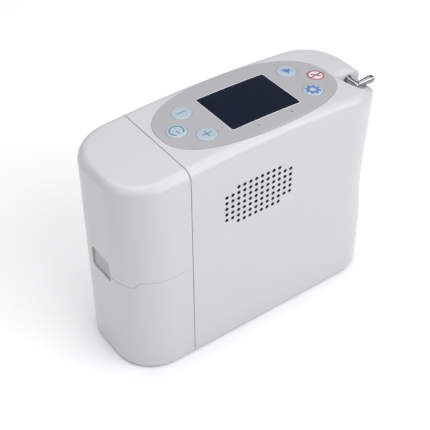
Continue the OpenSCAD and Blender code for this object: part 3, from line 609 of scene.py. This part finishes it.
def prism(points, z0, z1):
    """Upright prism over an outline in mm."""
    n = len(points)
    verts = [(x, y, z0) for x, y in points] + [(x, y, z1) for x, y in points]
    faces = [(i, (i + 1) % n, n + (i + 1) % n, n + i) for i in range(n)]
    return verts, faces + [list(reversed(range(n))), list(range(n, 2 * n))]


def sunk_oval(points, at_x, depth):
    """Cutter over a symmetric outline, its floor a set depth below the arched top."""
    half = sorted((x + at_x, y) for x, y in points if y > 0.05)
    verts = []
    for x, y in half:
        floor_z = surface(x, y) - depth
        verts += [(x, y, floor_z), (x, -y, floor_z), (x, -y, ABOVE), (x, y, ABOVE)]
    faces = [(4 * i + j, 4 * (i + 1) + j, 4 * (i + 1) + (j + 1) % 4, 4 * i + (j + 1) % 4)
             for i in range(len(half) - 1) for j in range(4)]
    last = 4 * (len(half) - 1)
    return verts, faces + [[3, 2, 1, 0], [last, last + 1, last + 2, last + 3]]


def merge(*parts):
    """One mesh of several that don't touch."""
    verts, faces = [], []
    for v, f in parts:
        base = len(verts)
        verts += v
        faces += [[base + i for i in q] for q in f]
    return verts, faces


def moved(part, matrix):
    verts, faces = part
    return [tuple(matrix @ Vector(v)) for v in verts], faces


def turned_solid(profile, matrix, steps=24):
    """Turned cutter in mm, laid by a matrix in mm."""
    verts, faces = lathe(profile, steps)
    return moved(([(x / MM, y / MM, z / MM) for x, y, z in verts], faces), matrix)


def oval(half_length, half_width, square, count):
    """Outline between an ellipse (square = 2) and a rectangle (square far above it)."""
    out = []
    for i in range(count):
        turn = 2 * math.pi * i / count
        c, s = math.cos(turn), math.sin(turn)
        out.append((math.copysign(abs(c) ** (2 / square) * half_length, c),
                    math.copysign(abs(s) ** (2 / square) * half_width, s)))
    return out


def rounded(length, width, corner, n=8):
    """Outline of a rectangle with rounded corners."""
    out = []
    for sx, sy, a in ((1, 1, 0), (-1, 1, 90), (-1, -1, 180), (1, -1, 270)):
        out += arc(sx * (length / 2 - corner), sy * (width / 2 - corner), corner, a, a + 90, n)
    return out


def shifted(points, x, y):
    return [(px + x, py + y) for px, py in points]


def mm_box(name):
    return [((p.x - SEAM) / MM, p.y / MM, p.z / MM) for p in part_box(name)]


def middle(name):
    lo, hi = mm_box(name)
    return [(a + b) / 2 for a, b in zip(lo, hi)]


def spot_mm(x, y):
    """As on_top, in this section's millimetres."""
    return Matrix.Translation((x, y, crown(x))) @ Matrix.Rotation(slope_at(SEAM + x * MM), 4, "Y")


LED_R, LED_HOLE = 1.5, 1.6
SCREEN_X, SCREEN_Y, _ = middle("display_window")
BADGE_X, BADGE_Y, _ = middle("warning_badge")
KEYS = [middle(key)[:2] for key in FIGURES]
led_lo, led_hi = mm_box("status_leds")
LEDS = [(x, led_lo[1] + LED_R) for x in (led_lo[0] + LED_R, led_hi[0] - LED_R)]
PANEL_X = middle("panel_overlay")[0]
PANEL_A, PANEL_B, PANEL_N = 75.0, 38.6, 2.4     # half length, half width and squareness of its recess
RECESS = 0.9

# The channel of the outlet: a wall that rolls over at its top, and a floor that climbs to the near corner.
# Its inner end is scooped out on a circle.
SCOOP_X, SCOOP_R, TILT = BODY_L - 4, 24.0, math.radians(20)
AXIS_Y, AXIS_Z = -18.2, 165.0      # where the elbow's axis crosses the channel
FLOOR_DROP = 4.2
WALL_Y = -8.0
WALL_ROLL = 5.5
FLOOR_DISH = 3.0
OUTSIDE_Y = -60.0
OUTSIDE_Z = 200.0


def channel(grow):
    """Cutter for the channel; grow moves every side out, for the wall behind it."""
    stations, roll = [], 0.0 if grow else WALL_ROLL
    wall_y = WALL_Y + grow
    x = SCOOP_X - SCOOP_R + 0.6
    while x < BODY_L + 8:
        stations.append(x)
        x += 1.0 if x < SCOOP_X else 2.0
    rows = []
    for x in stations:
        run = max(SCOOP_X - x, 0.0)
        rise = (SCOOP_R - math.sqrt(max(SCOOP_R * SCOOP_R - run * run, 0.0))) / math.cos(TILT)
        level = AXIS_Z - (FLOOR_DROP + grow) / math.cos(TILT) + rise

        def floor_at(y):
            return level + (AXIS_Y - y) * math.tan(TILT)

        top = crown(min(x, BODY_L))
        base = floor_at(wall_y)
        r = min(roll, max(0.05, (top - base) * 0.55))
        dish = min(FLOOR_DISH, max(0.05, (top - base) * 0.3))
        pts = [(y, floor_at(y)) for y in (OUTSIDE_Y, -44.0, -30.0)]
        a0 = math.degrees(TILT)
        cy, cz = wall_y - dish, base + dish * (1 / math.cos(TILT) + math.tan(TILT))
        for k in range(9):
            a = math.radians(-90 - a0 + (90 + a0) * k / 8)
            pts.append((cy + dish * math.cos(a), cz + dish * math.sin(a)))
        pts.append((wall_y, max(cz + 0.01, top - r)))
        for k in range(1, 10):      # the small rise keeps the points apart
            a = math.radians(180 - 90 * k / 9)
            pts.append((wall_y + r + r * math.cos(a), max(cz + 0.02, top - r + r * math.sin(a)) + 0.001 * k))
        pts += [(wall_y + r, OUTSIDE_Z), (OUTSIDE_Y, OUTSIDE_Z)]
        rows.append([(x, y, z) for y, z in pts])
    m = len(rows[0])
    verts = [v for row in rows for v in row]
    faces = []
    for i in range(len(rows) - 1):
        for j in range(m):
            q = (j + 1) % m
            faces.append((i * m + j, (i + 1) * m + j, (i + 1) * m + q, i * m + q))
    faces += [list(range(m)), list(reversed(range((len(rows) - 1) * m, len(rows) * m)))]
    return verts, faces


# The grille of each long side: its outer two columns at either end lack their first and last hole.
GRILLE_ROWS, GRILLE_COLS, GRILLE_PITCH = 7, 12, 5.15
GRILLE_X, GRILLE_Z = 29.4, 145.2      # the first hole
GRILLE_HOLE = [(0, -3.4), (1.45, -3.4), (1.45, -0.22), (1.5, -0.1), (1.62, 0.0), (1.85, 0.12), (0, 0.12)]


def grille():
    out = []
    for side in (-1, 1):
        turn = Matrix.Rotation(math.radians(-90 * side), 4, "X")
        for c in range(GRILLE_COLS):
            for r in range(GRILLE_ROWS):
                if (c < 2 or c > GRILLE_COLS - 3) and r in (0, GRILLE_ROWS - 1):
                    continue
                at = Matrix.Translation((GRILLE_X + c * GRILLE_PITCH, side * HALF, GRILLE_Z - r * GRILLE_PITCH))
                out.append(turned_solid(GRILLE_HOLE, at @ turn, 20))
    return merge(*out)


def in_grille(x, y, z):
    """True inside the wall round the grille, where the walls of its holes are; these faces get painted shade.
    """
    return 26 < x < 90 and 110 < z < 150 and HALF - 3 < abs(y) < HALF - 0.3


def at_height(z):
    """A level for skin, the same all along."""
    return lambda x: z


def plug(r, z0, z1):
    """Profile of a round cutter."""
    return [(0, z0), (r, z0), (r, z1), (0, z1)]


def facing(axis, x, y, z):
    """Matrix of a spot, its own Z turned to the row's X or against its Y."""
    return Matrix.Translation((x, y, z)) @ Matrix.Rotation(math.radians(90), 4, axis)


END_FILLET = 6.0
INNER_FILLET, INNER_EDGE = 5.0, 0.5
KEY_HOLE = 2.9
SCREEN_HOLE = (59.4, 44.2, 2.5)       # length, width and corner of the opening in the housing
JACK_Z, JACK_HOLE = 36.0, 5.65
BUSH_X, BUSH_HOLE = 168.6, 3.95

outer = solid("main_housing", *skin(GAP, BODY_L, HALF, END_R, at_height(FOOT), crown, SIDE_FILLET, END_FILLET,
                                    FOOT_FILLET, narrowed=True))
hollow = solid("hollow", *skin(-BODY_OPEN, BODY_L - WAIST_DEPTH - WALL, HALF - WALL, END_R - WALL,
                               at_height(OPEN_FOOT), lambda x: crown(x) - ROOF, SIDE_FILLET - WALL,
                               INNER_FILLET, INNER_EDGE, seam_round=0.0))
cut(hollow, solid("channel_wall", *channel(WALL)))
cut(outer, hollow)
cut(outer, solid("channel", *channel(0.0)))
cut(outer, solid("recess", *sunk_oval(oval(PANEL_A, PANEL_B, PANEL_N, 160), PANEL_X, RECESS)))
cut(outer, solid("top_holes", *merge(
    prism(shifted(rounded(*SCREEN_HOLE), SCREEN_X, SCREEN_Y), UNDER_TOP, ABOVE),
    *(turned_solid(plug(KEY_HOLE, -PAST, PAST), spot_mm(x, y)) for x, y in KEYS),
    *(turned_solid(plug(LED_HOLE, UNDER_TOP, ABOVE), Matrix.Translation((x, y, 0))) for x, y in LEDS))))
cut(outer, solid("grilles", *grille()))
cut(outer, solid("side_holes", *merge(
    turned_solid(plug(JACK_HOLE, -PAST, 3), facing("Y", BODY_L, 0, JACK_Z), 48),
    turned_solid(plug(BUSH_HOLE, -4, 2), facing("X", BUSH_X, WALL_Y, AXIS_Z), 48))))


def paint_hole_shade(obj, mat, inside):
    """Gives the faces whose middle meets a test in mm a second finish, used as painted shade."""
    obj.data.materials.append(mat)
    for face in obj.data.polygons:
        at = face.center
        if inside((at.x - SEAM) / MM, at.y / MM, at.z / MM):
            face.material_index = 1


def dress(obj, slot_name, body, replaced, width=0.0):
    """Finish, shading, body and place in the record of a shell or sheet; width breaks its edges."""
    one_finish(obj, FINISH[slot_name])
    if width:
        break_edges(obj, width)
    even_shading(obj, 80)
    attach(obj, body)
    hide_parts(replaced)


dress(outer, "housing", "main_unit", "main_shell", 0.22)
# Painted shade: the walls of the grille holes get the black finish so that the holes read dark.
paint_hole_shade(outer, FINISH["black_plastic"], in_grille)

# Battery pack: upper and lower case meet at a level line with a short step down near the end.
LATCH_Z = 88.0
PART_Z, STEP_DROP, STEP_X, STEP_RUN = 89.9, 5.4, -43.0, 3.5
PART_GAP = 0.05             # from the line to either case
STEP_GAP = 0.2              # along the row, where the line slopes
UPPER_EDGE, LOWER_EDGE = 0.42, 0.9      # fillets of the two cases at the line
HOLLOW_FROM, HOLLOW_TO = 60.0, 120.0    # past the line, so each case is open towards the other
SEAM_ROUND = 0.4
NEAR_END_FILLET = 6.8
POCKET = (18, 24, 2.3)      # height, width and corner of the latch button's pocket
POCKET_DEPTH = 10
POCKET_WALL = 2
ROD_HOLE = 2.4


def parting(x):
    u = min(max((x - STEP_X) / STEP_RUN, 0.0), 1.0)
    return PART_Z - STEP_DROP * (1 - u * u * (3 - 2 * u))


def pack_case(name, replaced, low, high, fillets, inner_low, inner_high, inner_fillets):
    """One case of the pack, hollow and cut for the latch; fillets are those of its sides, end and bottom."""
    body = solid(name, *skin(-GAP, -PACK_L, HALF, END_R, low, high, *fillets, SEAM_ROUND, turns=60))
    space = solid("space", *skin(PACK_OPEN, -PACK_L + WALL, HALF - WALL, END_R - WALL, inner_low, inner_high,
                                 *inner_fillets, 0.0, turns=24))
    face = facing("Y", -PACK_L, 0, LATCH_Z)
    height, width, corner = POCKET
    around = rounded(height + 2 * POCKET_WALL, width + 2 * POCKET_WALL, corner + POCKET_WALL)
    cut(space, solid("pocket_wall", *moved(prism(around, -PAST, POCKET_DEPTH + POCKET_WALL), face)))
    cut(body, space)
    cut(body, solid("pocket", *moved(prism(rounded(*POCKET), -PAST, POCKET_DEPTH), face)))
    behind = facing("Y", -PACK_L + POCKET_DEPTH - 1, 0, LATCH_Z)
    cut(body, solid("rod_hole", *turned_solid(plug(ROD_HOLE, 0, 6), behind)))
    dress(body, "housing", "battery_pack", replaced, 0.3)


pack_case("pack_upper", "battery_upper_case", lambda x: parting(x) + PART_GAP, crown,
          (SIDE_FILLET, NEAR_END_FILLET, UPPER_EDGE), at_height(HOLLOW_FROM), lambda x: crown(x) - WALL,
          (INNER_FILLET, INNER_FILLET, INNER_EDGE))
pack_case("pack_lower", "battery_lower_case", at_height(FOOT), lambda x: parting(x - STEP_GAP) - PART_GAP,
          (LOWER_EDGE, LOWER_EDGE, FOOT_FILLET), at_height(FOOT + WALL), at_height(HOLLOW_TO),
          (INNER_EDGE, INNER_EDGE, FOOT_FILLET - WALL))

# Coil spring behind the latch button.
COIL_TURNS, COIL_STEPS, COIL_SIDES, COIL_WIRE = 3, 24, 12, 0.4


def coil(length, radius):
    """Coil along X from the origin, in mm; radius is that of the wire's middle."""
    steps, n = COIL_TURNS * COIL_STEPS, COIL_SIDES
    verts = []
    for i in range(steps + 1):
        a = 2 * math.pi * i / COIL_STEPS
        x = COIL_WIRE + (length - 2 * COIL_WIRE) * i / steps
        for j in range(n):
            q = 2 * math.pi * j / n
            r = radius + COIL_WIRE * math.cos(q)
            verts.append((x + COIL_WIRE * math.sin(q), r * math.cos(a), r * math.sin(a)))
    faces = [(n * i + j, n * i + (j + 1) % n, n * i + n + (j + 1) % n, n * i + n + j)
             for i in range(steps) for j in range(n)]
    return verts, faces + [list(range(n - 1, -1, -1)), list(range(n * steps, n * steps + n))]


lo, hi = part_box("latch_spring")
axis_z = (lo.z + hi.z) / 2
verts, faces = coil((hi.x - lo.x) / MM, (hi.y - lo.y) / 2 / MM - COIL_WIRE)
spring = add_mesh("latch_coil", verts, faces, FINISH["steel"], "battery_pack", ["latch_spring"],
                  matrix=Matrix.Translation((lo.x, 0, axis_z)) @ Matrix.Scale(MM, 4))
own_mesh(spring)

# ---------- Panel sheet, display, lamps and badge ----------

SHEET_STEP = 5.0
FILLET_LINES = (0.0, 0.8, 1.4, 2.0)      # from where the long fillets begin
FILM_GAP = 0.15                          # between the sheet and its recess


def laid_sheet(loops, low, high, edge):
    """Sheet with openings that follows the arched top; heights are above the surface, in mm."""
    bm = bmesh.new()
    edges = []
    for loop in loops:
        vs = [bm.verts.new((x, y, 0)) for x, y in loop]
        edges += [bm.edges.new((vs[i], vs[(i + 1) % len(vs)])) for i in range(len(vs))]
    bmesh.ops.triangle_fill(bm, edges=edges, use_beauty=True)

    def split(at, normal):
        bmesh.ops.bisect_plane(bm, geom=bm.verts[:] + bm.edges[:] + bm.faces[:], plane_co=at,
                               plane_no=normal, dist=1e-5)

    # Lines across for the arch, and lines along where the sheet runs over the long fillets.
    xs = [x for x, y in loops[0]]
    ys = [y for x, y in loops[0]]
    x = min(xs) + SHEET_STEP
    while x < max(xs):
        split((x, 0, 0), (1, 0, 0))
        x += SHEET_STEP
    for over in FILLET_LINES:
        for y in (SIDE_FILLET - HALF - over, HALF - SIDE_FILLET + over):
            if min(ys) < y < max(ys):
                split((0, y, 0), (0, 1, 0))
    made = bmesh.ops.extrude_face_region(bm, geom=bm.faces[:])
    tops = {g for g in made["geom"] if isinstance(g, bmesh.types.BMVert)}
    for v in bm.verts:
        v.co.z = surface(v.co.x, v.co.y) + (high if v in tops else low)
    bmesh.ops.recalc_face_normals(bm, faces=bm.faces)
    rim = [e for e in bm.edges if len(e.link_faces) == 2 and e.calc_face_angle(0) > RIM_TURN
           and e.verts[0] in tops and e.verts[1] in tops]
    bmesh.ops.bevel(bm, geom=rim, offset=edge, segments=2, affect="EDGES", profile=0.5)
    bm.verts.index_update()
    out = [tuple(v.co) for v in bm.verts], [[v.index for v in f.verts] for f in bm.faces]
    bm.free()
    return out


def screen_frame(length, width, corner):
    return shifted(rounded(length, width, corner), SCREEN_X, SCREEN_Y)


# The sheet has openings for the display, the keys, the lamps and the badge.
film = [shifted(oval(PANEL_A - FILM_GAP, PANEL_B - FILM_GAP, PANEL_N, 160), PANEL_X, 0),
        screen_frame(61.4, 46.2, 2.65)]
film += [disc(7.72, 64, x, y) for x, y in KEYS]
film += [disc(LED_HOLE, 24, x, y) for x, y in LEDS]
film.append(disc(6.2, 60, BADGE_X, BADGE_Y))
rim = [screen_frame(61.3, 46.1, 2.6), screen_frame(60.3, 45.1, 1.9)]
glass = [screen_frame(60.2, 45.0, 1.85)]
dress(solid("panel_film", *laid_sheet(film, -0.85, 0.14, 0.09)), "panel", "main_unit", "panel_overlay")
dress(solid("display_rim", *laid_sheet(rim, -0.8, 0.24, 0.12)), "bezel", "main_unit", "display_bezel")
dress(solid("display_glass", *laid_sheet(glass, -0.8, 0.10, 0.06)), "window", "main_unit", "display_window")

# Each lamp is a low lens with a dark dot in its middle.
LENS = [(0, -3), (LED_R, -3), (LED_R, -0.1), (1.4, 0.02), (1.1, 0.09), (0.6, 0.12), (0, 0.13)]
for k, (x, y) in enumerate(LEDS):
    spot = on_top(SEAM + x * MM, y * MM)
    verts, faces = lathe(LENS, 32)
    add_mesh(f"lamp_{k}", verts, faces, FINISH["led_lens"], "main_unit",
             ["status_leds"] if k == 0 else [], matrix=spot)
    verts, faces = relief([disc(0.75, 18)], 0.08, 0.17)
    add_mesh(f"lamp_dot_{k}", verts, faces, DOT, "main_unit", smooth=False, matrix=spot)

# Round warning badge: pale disc, then red ring and bar and a dark stroke, each a little higher than the disc.
BADGE_FROM = 0.14
spot = spot_of("warning_badge")
verts, faces = lathe([(0, -0.9), (6.15, -0.9), (6.15, 0.12), (6.85, 0.12), (6.82, 0.16), (6.7, 0.18),
                      (0, 0.19)])
add_mesh("badge_disc", verts, faces, BADGE_WHITE, "main_unit", ["warning_badge"], matrix=spot)
for name, loops, to, mat in (
        ("badge_ring", [disc(6.7, 60), disc(5.45, 60)], 0.25, FINISH["badge"]),
        ("badge_stroke", [turned(bar(3.9, 0.65), -47)], 0.22, BADGE_DARK),
        ("badge_bar", [turned(bar(5.6, 0.6), 12)], 0.24, FINISH["badge"])):
    verts, faces = relief(loops, BADGE_FROM, to)
    add_mesh(name, verts, faces, mat, "main_unit", smooth=False, matrix=spot)

# ---------- Floor, light and camera ----------

FLOOR_SIDE, FLOOR_CELLS = 12, 24      # metres, and squares along a side

floor_mesh = bpy.data.meshes.new("floor")
row = FLOOR_CELLS + 1
verts = [((i / FLOOR_CELLS - 0.5) * FLOOR_SIDE, (j / FLOOR_CELLS - 0.5) * FLOOR_SIDE, 0)
         for i in range(row) for j in range(row)]
faces = [(i * row + j, (i + 1) * row + j, (i + 1) * row + j + 1, i * row + j + 1)
         for i in range(FLOOR_CELLS) for j in range(FLOOR_CELLS)]
floor_mesh.from_pydata(verts, [], faces)
floor = bpy.data.objects.new("floor", floor_mesh)
bpy.context.scene.collection.objects.link(floor)
floor_mesh.materials.append(material("floor", (0.96, 0.96, 0.96), 0.9, tone=0.005, tone_scale=3, grain=0.0,
                                     wear=0.0, specular=0.1))


LIT_SPOT = Vector((0, 0, 0.1))        # what the lights point at


def area_light(name, at, size, power):
    data = bpy.data.lights.new(name, "AREA")
    data.shape = "RECTANGLE"
    data.size, data.size_y = size
    data.energy = power
    obj = bpy.data.objects.new(name, data)
    obj.location = at
    obj.rotation_euler = (LIT_SPOT - Vector(at)).to_track_quat("-Z", "Y").to_euler()
    bpy.context.scene.collection.objects.link(obj)


area_light("key", (0.45, -1.1, 1.05), (1.7, 1.0), 15.5)
area_light("fill", (-1.4, -0.2, 0.9), (1.2, 1.2), 3.6)
area_light("sky", (0.1, 0.3, 1.9), (2.2, 2.2), 24.5)

# The studio that the gloss mirrors: dark at the horizon, pale overhead.
world = bpy.data.worlds.new("studio")
bpy.context.scene.world = world
world.use_nodes = True
t = world.node_tree
t.nodes.clear()
out = node(t, "ShaderNodeOutputWorld", (600, 0))
back = node(t, "ShaderNodeBackground", (400, 0))
coord = node(t, "ShaderNodeTexCoord", (-400, 0))
parts = node(t, "ShaderNodeSeparateXYZ", (-200, 0))
ramp = node(t, "ShaderNodeValToRGB", (0, 0))
ramp.color_ramp.elements[0].position = 0.0
ramp.color_ramp.elements[0].color = (0.55, 0.55, 0.56, 1)
ramp.color_ramp.elements[1].position = 1.0
ramp.color_ramp.elements[1].color = (0.95, 0.95, 0.97, 1)
mid = ramp.color_ramp.elements.new(0.6)
mid.color = (0.25, 0.25, 0.27, 1)
t.links.new(coord.outputs["Generated"], parts.inputs[0])
t.links.new(parts.outputs["Z"], ramp.inputs["Fac"])
t.links.new(ramp.outputs["Color"], back.inputs["Color"])
back.inputs["Strength"].default_value = 0.63
t.links.new(back.outputs[0], out.inputs[0])

# The camera's place, direction and focal length were solved together from the photo.
CAMERA_AT = (-0.348537, -0.46377, 0.576565)
CAMERA_TURN = (49.123244, 0.186058, -35.725679)      # degrees
CAMERA_LENS = 82.5437                                # mm, on a 36 mm sensor

cam_data = bpy.data.cameras.new("camera")
cam_data.sensor_width = 36
cam_data.lens = CAMERA_LENS
cam_data.clip_start = 0.01
cam_data.clip_end = 20
cam = bpy.data.objects.new("camera", cam_data)
cam.location = CAMERA_AT
cam.rotation_euler = Euler([math.radians(a) for a in CAMERA_TURN], "XYZ")
bpy.context.scene.collection.objects.link(cam)
bpy.context.scene.camera = cam
bpy.context.scene.view_settings.view_transform = "Standard"
